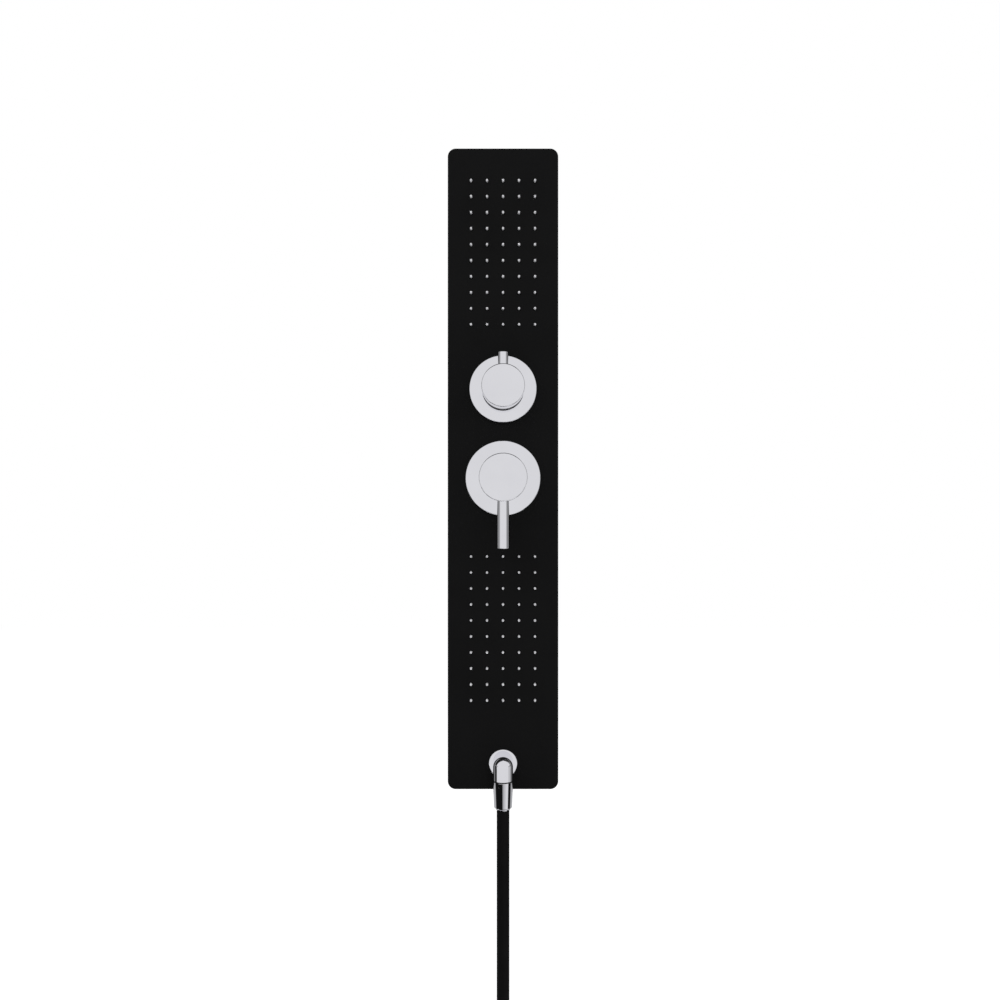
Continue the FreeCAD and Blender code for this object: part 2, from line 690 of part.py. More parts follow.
def make_diverter_trim():
    """Escutcheon, stop ring, knob, its pin and its grub screw, which is turned from below to one side."""
    z = diverter_z

    def to_grub(shape):
        return shape.rotated(point(0, 0, z), FreeCAD.Vector(0, -1, 0), knob_grub_turn)

    make_escutcheon("diverter_escutcheon", diverter_escutcheon_radius, diverter_neck_radius + fit, z)
    save("diverter_stop_ring", ring_out(knob_radius - stop_ring_step, diverter_neck_radius + fit,
                                        cap_front, stop_ring_front, 0, z))
    hub_back = knob_hub_front - knob_hub_length
    pin_line = (knob_rim + knob_front) / 2
    grub_reach = (hub_back + knob_hub_front) / 2
    knob = round_edges_at(rod_out(knob_radius, knob_rim, knob_front, 0, z), knob_front, handle_round)
    knob = knob.cut(rod_out(knob_radius - knob_wall, knob_rim, knob_hub_front, 0, z))
    knob = knob.fuse(rod_out(knob_hub_radius, hub_back, knob_hub_front, 0, z))
    cuts = [rod_out(spindle_radius + fit, hub_back, knob_hub_front, 0, z),
            to_grub(rod_up(grub_radius + fit, z - knob_radius, z - spindle_radius, 0, grub_reach)),
            rod_up(pin_stub_radius + fit, z + knob_radius - 2 * knob_wall, z + knob_radius, 0, pin_line)]
    save("diverter_knob", knob.cut(Part.makeCompound(cuts)))
    grub_top = z - spindle_radius - fit
    grub_low = grub_top - grub_length
    grub = rod_up(grub_radius, grub_low, grub_top, 0, grub_reach)
    grub = grub.cut(hex_up(grub_socket_flats, grub_low, grub_low + grub_socket_depth, 0, grub_reach))
    save("diverter_grub_screw", to_grub(grub))
    tip = z + pin_reach
    pin = round_edges_level(rod_up(pin_radius, z, tip, 0, pin_line), tip, pin_round)
    pin = pin.cut(rod_out(knob_radius + fit, knob_rim, knob_front, 0, z))
    stub = rod_up(pin_stub_radius, z + knob_radius - knob_wall, tip - pin_reach / 4, 0, pin_line)
    save("diverter_pin", pin.fuse(stub))


def bent_path(corners, radius):
    """Straight runs joined by tangent arcs of one radius at the inner corners."""
    edges = []
    start = corners[0]
    for before, corner, after in zip(corners, corners[1:], corners[2:]):
        back = (before - corner).normalize()
        ahead = (after - corner).normalize()
        half_turn = (math.pi - back.getAngle(ahead)) / 2
        cut = radius * math.tan(half_turn)
        first = corner + back * cut
        last = corner + ahead * cut
        bisector = (back + ahead).normalize()
        middle = corner + bisector * (radius / math.cos(half_turn) - radius)
        edges.append(Part.LineSegment(start, first).toShape())
        edges.append(Part.Arc(first, middle, last).toShape())
        start = last
    edges.append(Part.LineSegment(start, corners[-1]).toShape())
    return Part.Wire(edges)


def swept(path, radius):
    """A solid round bar along a path."""
    start = path.Vertexes[0].Point
    heading = path.Edges[0].tangentAt(path.Edges[0].FirstParameter)
    circle = Part.Wire(Part.makeCircle(radius, start, heading))
    return path.makePipeShell([circle], True, False)


def water_tube(name, corners):
    """A bent hollow tube, with a clip over each of its two ends."""
    path = bent_path(corners, tube_bend)
    save(name, swept(path, tube_radius).cut(swept(path, tube_bore_radius)))
    for end, beyond in ((corners[0], corners[1]), (corners[-1], corners[-2])):
        heading = (beyond - end).normalize()
        base = end + heading * ((barb_length - clip_length) / 2)
        outer = Part.makeCylinder(tube_radius + fit + clip_thickness, clip_length, base, heading)
        tube_clips.append(outer.cut(Part.makeCylinder(tube_radius + fit, clip_length, base, heading)))


tube_clips = []


def make_water_lines():
    """Mixed water up to the diverter, then one line to each of the three users."""
    reach = line_reach
    end = diverter_body_radius + boss_length
    mixer_port = mixer_z + mixer_body_radius + boss_length
    water_tube("mixed_water_pipe", [point(0, reach, mixer_port), point(0, reach, diverter_z - end)])
    water_tube("upper_feed_tube", [point(0, reach, diverter_z + end),
                                   point(0, reach, chamber_port_z("upper"))])
    port = chamber_port_z("lower")
    bend_low = port + barb_length + tube_bend / 2
    bend_high = bend_low + lower_port_offset
    water_tube("lower_feed_tube", [point(-end, reach, diverter_z), point(-tube_x, reach, diverter_z),
                                   point(-tube_x, reach, bend_high), point(lower_port_x, reach, bend_low),
                                   point(lower_port_x, reach, port)])
    water_tube("outlet_feed_tube", [point(end, reach, diverter_z), point(tube_x, reach, diverter_z),
                                    point(tube_x, reach, outlet_z), point(feed_elbow_end, reach, outlet_z)])
    save("tube_clips", *tube_clips)


# Outlet line: hose axis, elbow ends and the parts behind the panel
outlet_front = panel_front + outlet_flange_thickness
hose_reach = outlet_front + outlet_back_gap + max(outlet_pipe_radius, nut_radius)
elbow_low = outlet_z - outlet_drop
spigot_low = elbow_low - outlet_spigot
backnut_front = panel_inside - outlet_gasket_thickness
backnut_back = backnut_front - backnut_height
nipple_back = panel_inside - outlet_nipple_tail
feed_elbow_end = feed_elbow_radius + boss_length


def elbow_bar(radius, back, low):
    """An upright round bar with a ball end, and a slightly thinner neck from it to the wall."""
    ball = Part.makeSphere(radius, point(0, hose_reach, outlet_z), FreeCAD.Vector(0, 0, 1), 0, 90, 360)
    upright = rod_up(radius, low, outlet_z, 0, hose_reach).fuse(ball)
    return upright.fuse(rod_out(radius - outlet_neck_step, back, hose_reach, 0, outlet_z))


def make_outlet():
    """Flange, elbow, gasket, back nut and the feed elbow behind the panel."""
    flange = rod_out(outlet_flange_radius, panel_front, outlet_front, 0, outlet_z)
    flange = round_edges_at(flange, outlet_front, escutcheon_round)
    save("outlet_flange", flange.cut(rod_out(outlet_thread_radius + loose_fit, panel_front, outlet_front,
                                             0, outlet_z)))
    elbow = elbow_bar(outlet_pipe_radius, outlet_front, elbow_low)
    elbow = elbow.fuse(rod_out(outlet_thread_radius, nipple_back, outlet_front, 0, outlet_z))
    elbow = elbow.fuse(rod_up(outlet_thread_radius, spigot_low, elbow_low, 0, hose_reach))
    save("outlet_elbow", elbow.cut(elbow_bar(outlet_bore_radius, nipple_back, spigot_low)))
    save("outlet_gasket", ring_out(backnut_flats / 2, outlet_thread_radius + loose_fit,
                                   backnut_front, panel_inside, 0, outlet_z))
    nut = hex_out(backnut_flats, backnut_back, backnut_front, 0, outlet_z)
    save("outlet_backnut", nut.cut(rod_out(outlet_thread_radius + fit, backnut_back, backnut_front,
                                           0, outlet_z)))
    front = backnut_back - feed_elbow_gap
    socket_floor = nipple_back - feed_elbow_floor
    barb_end = feed_elbow_end + barb_length
    back = line_reach - boss_radius - feed_elbow_back_wall
    body = rod_out(feed_elbow_radius, back, front, 0, outlet_z)
    body = body.fuse(rod_side(boss_radius, 0, feed_elbow_end, line_reach, outlet_z))
    body = body.fuse(rod_side(barb_radius, feed_elbow_end, barb_end, line_reach, outlet_z))
    cuts = [rod_out(outlet_thread_radius + fit, socket_floor, front, 0, outlet_z),
            rod_out(barb_bore_radius, line_reach, socket_floor, 0, outlet_z),
            rod_side(barb_bore_radius, 0, barb_end, line_reach, outlet_z)]
    save("outlet_feed_elbow", body.cut(Part.makeCompound(cuts)))


# Hose levels, from the outlet down
washer_low = spigot_low - washer_thickness
tail_low = washer_low - tail_flange_thickness
hose_top = tail_low - tail_length
hose_low = hose_top - hose_straight
fold_top = hose_low - hank_top_gap
waist_z = fold_top - hank_fold_radius - hank_half_run
hank_end = waist_z - hank_tail
# The runs flare out from the waist on this radius, lean by this angle where they meet the folds,
# and climb one layer each
hank_flare = ((hank_waist ** 2 + hank_half_run ** 2 - hank_fold_radius ** 2)
              / (2 * (hank_fold_radius - hank_waist)))
hank_lean = math.atan2(hank_half_run, hank_waist + hank_flare)
hank_climb = hank_layer / (hank_flare * hank_lean)


def conical_nut(small_end, big_end, thread_radius, flange_radius, shoulder, reach, x=0.0):
    """A hose nut: widest at its open end, tapering to the hose, with a seat for the tail."""
    way = 1 if big_end > small_end else -1

    def down(distance):
        return big_end - way * distance

    hose_bore = hose_radius + nut_hose_gap
    seat = shoulder + way * tail_flange_thickness
    profile = [(thread_radius, big_end), (nut_radius - nut_chamfer, big_end),
               (nut_radius, down(nut_chamfer)), (nut_cone_radius, down(nut_cone_end)),
               (nut_tip_radius, down(nut_length - nut_tip_length)), (nut_tip_radius, small_end),
               (hose_bore, small_end), (hose_bore, shoulder), (flange_radius + fit, shoulder),
               (flange_radius + fit, seat), (thread_radius, seat)]
    return turned_up(profile, x, reach)


def make_hose_head():
    """Washer, tail and nut at the outlet, and the straight hanging hose."""
    washer = rod_up(washer_radius, washer_low, spigot_low, 0, hose_reach)
    save("hose_washer", washer.cut(rod_up(tail_bore_radius, washer_low, spigot_low, 0, hose_reach)))
    tail = rod_up(tail_flange_radius, tail_low, washer_low, 0, hose_reach)
    tail = tail.fuse(rod_up(tail_radius, hose_top, tail_low, 0, hose_reach))
    save("hose_tail", tail.cut(rod_up(tail_bore_radius, hose_top, washer_low, 0, hose_reach)))
    save("hose_nut", conical_nut(elbow_low - nut_length, elbow_low, outlet_thread_radius + fit,
                                 tail_flange_radius, tail_low, hose_reach))
    save("hose", rod_up(hose_radius, hose_low, hose_top, 0, hose_reach))


def biarc(start, heading, end, final):
    """Two arcs that leave start along heading and reach end along final."""
    chord = end - start
    both = heading + final
    spread = 2 * (1 - heading.dot(final))
    along = chord.dot(both)
    if spread < 1e-9:
        reach = chord.dot(chord) / (4 * chord.dot(heading))
    else:
        reach = (math.sqrt(along * along + spread * chord.dot(chord)) - along) / spread
    first = start + heading * reach
    last = end - final * reach
    middle = (first + last) * 0.5
    return [tangent_arc(start, first, middle), tangent_arc(middle, last, end)]


def tangent_arc(start, corner, end):
    """The arc from start to end whose end tangents meet at corner."""
    centre = (start + end) * 0.5
    rise = corner - centre
    half = (end - start).Length / 2
    if rise.Length < straight_limit:
        return Part.LineSegment(start, end).toShape()
    sagitta = half * math.tan(math.atan2(rise.Length, half) / 2)
    return Part.Arc(start, centre + rise.normalize() * sagitta, end).toShape()


def hank_stations():
    """Points and headings of the folded hose: a run down, a fold, a run up, a fold and a last run down."""
    fold = hank_fold_radius
    run = hank_half_run
    lean = hank_lean
    shoulder_x = fold * math.cos(lean)
    shoulder_z = run - fold * math.sin(lean)
    down = FreeCAD.Vector(0, 0, -1)
    reach = hose_reach
    stations = [(point(0, reach, hose_low), down),
                (point(0, reach, hose_low - 2 * hose_radius), down),
                (point(-hank_waist, reach, waist_z), down)]
    # side is -1 on the left and +1 on the right, way is -1 on the way down and +1 on the way up
    side = -1
    way = -1
    for fold_number in range(2):
        across = -side
        turn = [(side * shoulder_x, shoulder_z, side * math.sin(lean), way * math.cos(lean)),
                (side * fold, run, 0.0, way),
                (0.0, run + fold, across, 0.0),
                (across * fold, run, 0.0, -way),
                (across * shoulder_x, shoulder_z, -across * math.sin(lean), -way * math.cos(lean))]
        for x, height, along_x, along_z in turn:
            stations.append((point(x, reach, waist_z + way * height), FreeCAD.Vector(along_x, 0, along_z)))
        side = across
        way = -way
        reach -= hank_layer / 2
        stations.append((point(side * hank_waist, reach, waist_z),
                         FreeCAD.Vector(0, hank_climb, way).normalize()))
        reach -= hank_layer / 2
    stations.append((point(-hank_waist, reach, hank_end + 2 * hose_radius), down))
    stations.append((point(-hank_waist, reach, hank_end), down))
    return stations


def least_gap(path):
    """The least gap between stretches of one tube that are not neighbours along it."""
    points = path.discretize(Distance=gap_step)
    skip = int(8 * hose_radius / gap_step)
    least = min((a - b).Length for i, a in enumerate(points) for b in points[i + skip:])
    return least - 2 * hose_radius


def make_hose_end():
    """The put-away hank with its tie, and the end nut for a hand shower."""
    stations = hank_stations()
    edges = []
    for (start, heading), (end, final) in zip(stations, stations[1:]):
        edges += biarc(start, heading, end, final)
    path = Part.Wire(edges)
    hank = swept(path, hose_radius)
    radii = [round(e.Curve.Radius, 1) for e in edges if hasattr(e.Curve, "Radius")]
    print("hank bend radii", radii)
    print("hank length", round(path.Length, 1), "volume over section", round(hank.Volume / (
        math.pi * hose_radius ** 2), 1), "hose length", round(path.Length + hose_straight, 1))
    print("hank least gap to itself", round(least_gap(path), 2))
    save("hose_hank", hank)

    half_x = hank_waist + hose_radius + tie_gap
    front = hose_reach + hose_radius + tie_gap
    back = hose_reach - 1.5 * hank_layer - hank_climb * tie_height / 2 - hose_radius - tie_gap
    low = waist_z - tie_height / 2
    outer = block(-half_x - tie_thickness, half_x + tie_thickness, back - tie_thickness,
                  front + tie_thickness, low, low + tie_height)
    inner = block(-half_x, half_x, back, front, low, low + tie_height)
    save("hose_tie", round_upright(outer, hose_radius + tie_thickness).cut(round_upright(inner, hose_radius)))

    end_x = -hank_waist
    end_reach = hose_reach - 2 * hank_layer
    shoulder = hank_end - end_tail_length
    flange_low = shoulder - tail_flange_thickness
    tail = rod_up(tail_radius, shoulder, hank_end, end_x, end_reach)
    tail = tail.fuse(rod_up(end_flange_radius, flange_low, shoulder, end_x, end_reach))
    save("hose_end_tail", tail.cut(rod_up(tail_bore_radius, flange_low, hank_end, end_x, end_reach)))
    small_end = hank_end + end_nut_overlap
    save("hose_end_nut", conical_nut(small_end, small_end - nut_length, end_thread_radius,
                                     end_flange_radius, shoulder, end_reach, end_x))


def round_upright(solid, radius):
    """Rounds the four upright edges of a box."""
    upright = [e for e in solid.Edges if abs(e.tangentAt(e.FirstParameter).z) > 0.99]
    return solid.makeFillet(radius, upright)


# Wall fixing places
bolt_high = top - bolt_inset
bolt_low = foot + bolt_inset
hook_floor = top - sheet - hook_drop
lip_back = bracket_sheet + hook_play
lip_front = lip_back + bracket_sheet
hook_back = lip_front + hook_play
lock_screw_reach = lock_screw_inset
lock_screw_places = (-lock_screw_spacing / 2, lock_screw_spacing / 2)


def bolt_holes(z):
    """The two wall bolt holes of one bracket."""
    return Part.makeCompound([rod_out(bolt_hole_radius, 0, bracket_sheet, x, z)
                              for x in (-bolt_spacing_x / 2, bolt_spacing_x / 2)])


def make_wall_fixing():
    """Hook bracket and rail at the top, angle bracket, weld nuts and lock screws at the foot."""
    wide = bracket_half_width
    plate = block(-wide, wide, 0, bracket_sheet, hook_floor - bracket_plate_height, hook_floor)
    web = block(-wide, wide, 0, hook_back + bracket_sheet, hook_floor - bracket_sheet, hook_floor)
    lip = block(-wide, wide, hook_back, hook_back + bracket_sheet, hook_floor - bracket_sheet,
                hook_floor + hook_height)
    save("upper_wall_bracket", plate.fuse(web).fuse(lip).cut(bolt_holes(bolt_high)).removeSplitter())
    rail = block(-wide, wide, lip_back, lip_front, hook_floor, top - sheet)
    rail = rail.fuse(block(-wide, wide, lip_back, lip_back + rail_depth, top - sheet - bracket_sheet,
                           top - sheet))
    save("hanger_rail", rail.removeSplitter())
    floor = foot + sheet
    angle = block(-wide, wide, 0, bracket_sheet, floor, floor + bracket_plate_height + hook_drop)
    angle = angle.fuse(block(-wide, wide, 0, tab_depth, floor, floor + bracket_sheet))
    holes = [bolt_holes(bolt_low)]
    nuts = []
    screws = []
    nut_low = floor + bracket_sheet
    for x in lock_screw_places:
        holes.append(rod_up(lock_screw_radius + loose_fit, floor, nut_low, x, lock_screw_reach))
        nut = hex_up(weld_nut_flats, nut_low, nut_low + weld_nut_height, x, lock_screw_reach)
        nuts.append(nut.cut(rod_up(lock_screw_radius + fit, nut_low, nut_low + weld_nut_height, x,
                                   lock_screw_reach)))
        head_low = foot - lock_head_height
        head = rod_up(lock_head_radius, head_low, foot, x, lock_screw_reach)
        head = round_edges_level(head, head_low, lock_head_height / 3)
        head = head.cut(hex_up(lock_socket_flats, head_low, head_low + lock_socket_depth, x,
                               lock_screw_reach))
        screws.append(head.fuse(rod_up(lock_screw_radius, foot, foot + lock_screw_length, x,
                                       lock_screw_reach)))
    save("lower_wall_bracket", angle.cut(Part.makeCompound(holes)).multiFuse(nuts).removeSplitter())
    save("panel_lock_screws", *screws)


make_panel()
for field_name, field_row in fields.items():
    make_spray(field_name, field_row)
save("clamp_studs", *clamp_studs)
save("clamp_nuts", *clamp_nuts)
make_mixer_body()
make_mixer_cartridge()
make_mixer_trim()
make_diverter_body()
save("valve_gaskets", *valve_gaskets)
make_diverter_cartridge()
save("valve_port_seals", *valve_port_seals)
make_diverter_trim()
make_outlet()
make_water_lines()
make_hose_head()
make_hose_end()
make_wall_fixing()
print("panel", panel_width, "by", panel_height)
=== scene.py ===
import json
import math

import bpy
import numpy as np
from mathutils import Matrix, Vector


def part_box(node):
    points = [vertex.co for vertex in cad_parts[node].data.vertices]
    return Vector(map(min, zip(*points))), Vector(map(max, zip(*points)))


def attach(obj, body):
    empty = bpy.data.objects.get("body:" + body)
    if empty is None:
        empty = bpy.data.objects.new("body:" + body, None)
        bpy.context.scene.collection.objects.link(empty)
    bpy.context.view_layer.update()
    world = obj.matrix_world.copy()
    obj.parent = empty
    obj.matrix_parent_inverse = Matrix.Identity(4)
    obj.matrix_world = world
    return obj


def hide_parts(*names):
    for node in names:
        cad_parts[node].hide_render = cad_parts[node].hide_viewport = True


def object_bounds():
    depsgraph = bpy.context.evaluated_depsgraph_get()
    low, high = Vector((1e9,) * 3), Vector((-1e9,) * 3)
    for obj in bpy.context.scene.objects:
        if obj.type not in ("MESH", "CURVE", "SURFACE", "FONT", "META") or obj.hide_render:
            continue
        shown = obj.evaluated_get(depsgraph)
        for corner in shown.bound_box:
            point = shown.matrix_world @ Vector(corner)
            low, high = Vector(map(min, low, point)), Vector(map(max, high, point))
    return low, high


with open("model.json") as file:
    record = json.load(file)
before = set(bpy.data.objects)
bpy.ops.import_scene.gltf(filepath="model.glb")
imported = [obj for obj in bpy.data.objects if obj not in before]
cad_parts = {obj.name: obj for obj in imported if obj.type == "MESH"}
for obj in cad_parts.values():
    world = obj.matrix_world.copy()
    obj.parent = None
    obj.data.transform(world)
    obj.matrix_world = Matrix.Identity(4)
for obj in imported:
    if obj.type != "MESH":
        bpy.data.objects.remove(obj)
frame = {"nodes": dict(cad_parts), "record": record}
cad_box = [list(corner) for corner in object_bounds()]

# Camera, square on to the panel: metres, and the lens in millimetres
camera_x = -0.00375
camera_z = -0.0389
camera_from_face = 1.1295
camera_lens = 32.616
camera_sensor = 36.0

# Hose route: straight down from the outlet, then folded into a hank about its waist
hose_radius = 0.0078
hose_y = -0.07675
hose_top = -0.4112
hose_levels = (-0.455, -0.530, -0.605)
hose_low = -0.6612
hank_top_gap = 0.020
fold_radius = 0.0468
half_run = 0.135
waist = 0.0082
layer = 0.0164
hank_tail = 0.120
hose_steps = 8
waist_z = hose_low - hank_top_gap - fold_radius - half_run

# Strap round the waist of the hank
strap_thickness = 0.0018
strap_width = 0.020
strap_gap = 0.0006
strap_overlap = 0.034
strap_climb = 0.012
overlap_lift = 1.1 * strap_thickness
strap_squareness = 0.3
strap_sections = 200
strap_profile = 24
yarn_width = 0.0009

# Threads
inlet_thread_pitch = 0.00181
inlet_thread_start = -0.0205
stud_thread_pitch = 0.0007

# Painted shade: a dark line painted on the foot of the outlet elbow, standing in for the shade in the joint
# with the hose nut
joint_line = 0.0013
joint_shade_colour = (0.02, 0.02, 0.02, 1.0)

# The gloss of a finish drifts on a finer scale than its colour
gloss_scale = 2.3

# Studio: lamps by place and power; the floor's glow lifts it to white for the camera alone
floor_gap = 0.004
floor_span = 6.0
floor_glow = 0.45
lamp_size = 1.6
lamps = {
    "key_lamp": ((-1.2, -2.2, 1.6), 30.0),
    "fill_lamp": ((1.5, -2.0, 0.6), 15.0),
    "rear_lamp": ((-1.0, 2.0, 1.2), 8.0),
}

# Places read from the frame
face_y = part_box("front_panel")[0][1]
nut_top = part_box("hose_nut")[1][2]
floor_z = cad_box[0][2] - floor_gap


def add(tree, kind, **inputs):
    """Adds one node and sets its named inputs; an underscore in a name stands for a space."""
    made = tree.nodes.new(kind)
    for name, value in inputs.items():
        made.inputs[name.replace("_", " ")].default_value = value
    return made


def join(tree, source, target):
    """Links an output socket to an input socket."""
    tree.links.new(source, target)


def reckon(tree, operation, first, second):
    """A Math node over two sockets or numbers; gives its output."""
    made = tree.nodes.new("ShaderNodeMath")
    made.operation = operation
    for place, value in enumerate((first, second)):
        if isinstance(value, (int, float)):
            made.inputs[place].default_value = value
        else:
            join(tree, value, made.inputs[place])
    return made.outputs["Value"]


def axes_of(tree, kind):
    """The X, Y and Z sockets of this kind of texture coordinate."""
    place = tree.nodes.new("ShaderNodeTexCoord")
    axes = tree.nodes.new("ShaderNodeSeparateXYZ")
    join(tree, place.outputs[kind], axes.inputs["Vector"])
    return axes.outputs


def colour_mix(tree, share):
    """A Mix node between its colours A and B, by this share of B."""
    made = tree.nodes.new("ShaderNodeMix")
    made.data_type = "RGBA"
    join(tree, share, made.inputs["Factor"])
    return made


def group(name, inputs, output):
    """A new node group with number inputs {name: default} and one number output."""
    tree = bpy.data.node_groups.new(name, "ShaderNodeTree")
    for label, value in inputs.items():
        made = tree.interface.new_socket(label, in_out="INPUT", socket_type="NodeSocketFloat")
        made.default_value = value
    tree.interface.new_socket(output, in_out="OUTPUT", socket_type="NodeSocketFloat")
    place = tree.nodes.new("ShaderNodeTexCoord")
    return tree, tree.nodes.new("NodeGroupInput").outputs, place, tree.nodes.new("NodeGroupOutput").inputs


def drift_group():
    """Slow drift between two values, for a colour or gloss that is never quite even."""
    tree, given, place, out = group("slow_drift", {"Scale": 30.0, "Low": 0.0, "High": 1.0}, "Value")
    noise = add(tree, "ShaderNodeTexNoise", Detail=4.0, Roughness=0.55)
    span = add(tree, "ShaderNodeMapRange", From_Min=0.3, From_Max=0.7)
    join(tree, place.outputs["Object"], noise.inputs["Vector"])
    join(tree, given["Scale"], noise.inputs["Scale"])
    join(tree, noise.outputs["Fac"], span.inputs["Value"])
    join(tree, given["Low"], span.inputs["To Min"])
    join(tree, given["High"], span.inputs["To Max"])
    join(tree, span.outputs["Result"], out["Value"])
    return tree


def grain_group():
    """Fine even grain, as height for a bump."""
    tree, given, place, out = group("fine_grain", {"Scale": 2500.0}, "Height")
    noise = add(tree, "ShaderNodeTexNoise", Detail=2.0, Roughness=0.6)
    join(tree, place.outputs["Object"], noise.inputs["Vector"])
    join(tree, given["Scale"], noise.inputs["Scale"])
    join(tree, noise.outputs["Fac"], out["Height"])
    return tree


def drop_group():
    """Rings left by dried drops: a band of distance from scattered points, kept only in some patches."""
    tree, given, place, out = group("dried_drops", {"Scale": 90.0, "Amount": 1.0}, "Mask")
    cells = tree.nodes.new("ShaderNodeTexVoronoi")
    rise = add(tree, "ShaderNodeMapRange", From_Min=0.20, From_Max=0.25)
    fall = add(tree, "ShaderNodeMapRange", From_Min=0.25, From_Max=0.28, To_Min=1.0, To_Max=0.0)
    patch = add(tree, "ShaderNodeTexNoise", Scale=23.0, Detail=1.0)
    kept = add(tree, "ShaderNodeMapRange", From_Min=0.52, From_Max=0.60)
    join(tree, place.outputs["Object"], cells.inputs["Vector"])
    join(tree, place.outputs["Object"], patch.inputs["Vector"])
    join(tree, given["Scale"], cells.inputs["Scale"])
    join(tree, cells.outputs["Distance"], rise.inputs["Value"])
    join(tree, cells.outputs["Distance"], fall.inputs["Value"])
    join(tree, patch.outputs["Fac"], kept.inputs["Value"])
    ring = reckon(tree, "MULTIPLY", rise.outputs["Result"], fall.outputs["Result"])
    some = reckon(tree, "MULTIPLY", ring, kept.outputs["Result"])
    join(tree, reckon(tree, "MULTIPLY", some, given["Amount"]), out["Mask"])
    return tree


def line_group():
    """Fine drawn or turned lines: noise squeezed across the lines and stretched along them."""
    scales = {"X Scale": 60.0, "Y Scale": 60.0, "Z Scale": 60.0}
    tree, given, place, out = group("drawn_lines", scales, "Height")
    squeeze = tree.nodes.new("ShaderNodeCombineXYZ")
    scaled = tree.nodes.new("ShaderNodeVectorMath")
    scaled.operation = "MULTIPLY"
    noise = add(tree, "ShaderNodeTexNoise", Scale=1.0, Detail=2.0)
    for axis in "XYZ":
        join(tree, given[axis + " Scale"], squeeze.inputs[axis])
    join(tree, place.outputs["Object"], scaled.inputs[0])
    join(tree, squeeze.outputs["Vector"], scaled.inputs[1])
    join(tree, scaled.outputs["Vector"], noise.inputs["Vector"])
    join(tree, noise.outputs["Fac"], out["Height"])
    return tree


def thread_group():
    """Screw thread along Y as height: a ridge in each pitch, from the plane at Start on."""
    tree, given, place, out = group("screw_thread", {"Pitch": 0.001, "Start": -1.0}, "Height")
    axes = tree.nodes.new("ShaderNodeSeparateXYZ")
    join(tree, place.outputs["Object"], axes.inputs["Vector"])
    along = reckon(tree, "DIVIDE", axes.outputs["Y"], given["Pitch"])
    ridge = reckon(tree, "PINGPONG", along, 0.5)
    begun = reckon(tree, "GREATER_THAN", axes.outputs["Y"], given["Start"])
    join(tree, reckon(tree, "MULTIPLY", ridge, begun), out["Height"])
    return tree


slow_drift = drift_group()
fine_grain = grain_group()
dried_drops = drop_group()
drawn_lines = line_group()
screw_thread = thread_group()


def shared(tree, which, **values):
    """Puts a shared group into a material with its own values; gives its output."""
    made = tree.nodes.new("ShaderNodeGroup")
    made.node_tree = which
    for name, value in values.items():
        made.inputs[name.replace("_", " ")].default_value = value
    return made.outputs[0]


def emboss(material, height, depth):
    """Adds one more relief, depth metres deep, on top of those that the material has."""
    tree = material.node_tree
    normal = tree.nodes["Principled BSDF"].inputs["Normal"]
    bump = add(tree, "ShaderNodeBump", Strength=1.0, Distance=depth)
    if normal.links:
        join(tree, normal.links[0].from_socket, bump.inputs["Normal"])
    join(tree, height, bump.inputs["Height"])
    join(tree, bump.outputs["Normal"], normal)


def finish(name, dark, light, drift, rough, grain, depth, metallic=0.0, specular=0.5, drops=0.0):
    """A finish whose colour drifts from dark to light and whose gloss drifts over the range rough, with
    grain of this scale and depth and, where drops is set, the dull rings of dried drops."""
    material = bpy.data.materials.new(name)
    material.use_nodes = True
    tree = material.node_tree
    shader = tree.nodes["Principled BSDF"]
    shader.inputs["Metallic"].default_value = metallic
    shader.inputs["Specular IOR Level"].default_value = specular
    colour = colour_mix(tree, shared(tree, slow_drift, Scale=drift))
    colour.inputs["A"].default_value = (*dark, 1.0)
    colour.inputs["B"].default_value = (*light, 1.0)
    join(tree, colour.outputs["Result"], shader.inputs["Base Color"])
    gloss = shared(tree, slow_drift, Scale=gloss_scale * drift, Low=rough[0], High=rough[1])
    if drops:
        gloss = reckon(tree, "ADD", gloss, shared(tree, dried_drops, Amount=drops))
    join(tree, gloss, shader.inputs["Roughness"])
    emboss(material, shared(tree, fine_grain, Scale=grain), depth)
    return material


def lined(material, depth, x, y, z):
    """Adds drawn or turned lines of these scales to a finish."""
    emboss(material, shared(material.node_tree, drawn_lines, X_Scale=x, Y_Scale=y, Z_Scale=z), depth)
    return material


def threaded(material, depth, pitch, start=-1.0):
    """Adds a screw thread along Y to a finish, from the plane at start on."""
    emboss(material, shared(material.node_tree, screw_thread, Pitch=pitch, Start=start), depth)
    return material


def with_painted_joint_shade(material, joint_z):
    """Paints shade into a finish: darkens its base colour in the narrow line over a level joint, and below
    it, as the shade in the joint would.
    """
    tree = material.node_tree
    base = tree.nodes["Principled BSDF"].inputs["Base Color"]
    below = reckon(tree, "LESS_THAN", axes_of(tree, "Object")["Z"], joint_z + joint_line)
    colour = colour_mix(tree, below)
    colour.inputs["B"].default_value = joint_shade_colour
    join(tree, base.links[0].from_socket, colour.inputs["A"])
    join(tree, colour.outputs["Result"], base)
    return material


def polished_chrome(name):
    """Mirror-bright plate with faint dried drops."""
    return finish(name, (0.80, 0.80, 0.84), (0.83, 0.83, 0.87), drift=25.0, rough=(0.025, 0.045),
                  grain=900.0, depth=2e-6, metallic=1.0, drops=0.06)


def machined_brass(name):
    """Turned brass, its tool marks running round the depth axis."""
    made = finish(name, (0.50, 0.34, 0.12), (0.66, 0.48, 0.20), drift=60.0, rough=(0.22, 0.36),
                  grain=1500.0, depth=2e-5, metallic=1.0)
    return lined(made, depth=3e-5, x=60.0, y=4000.0, z=60.0)


def zinc_steel(name):
    """Zinc plate over drawn steel."""
    made = finish(name, (0.46, 0.46, 0.47), (0.60, 0.60, 0.59), drift=45.0, rough=(0.25, 0.42),
                  grain=1700.0, depth=2e-5, metallic=1.0)
    return lined(made, depth=2e-5, x=30.0, y=2500.0, z=2500.0)


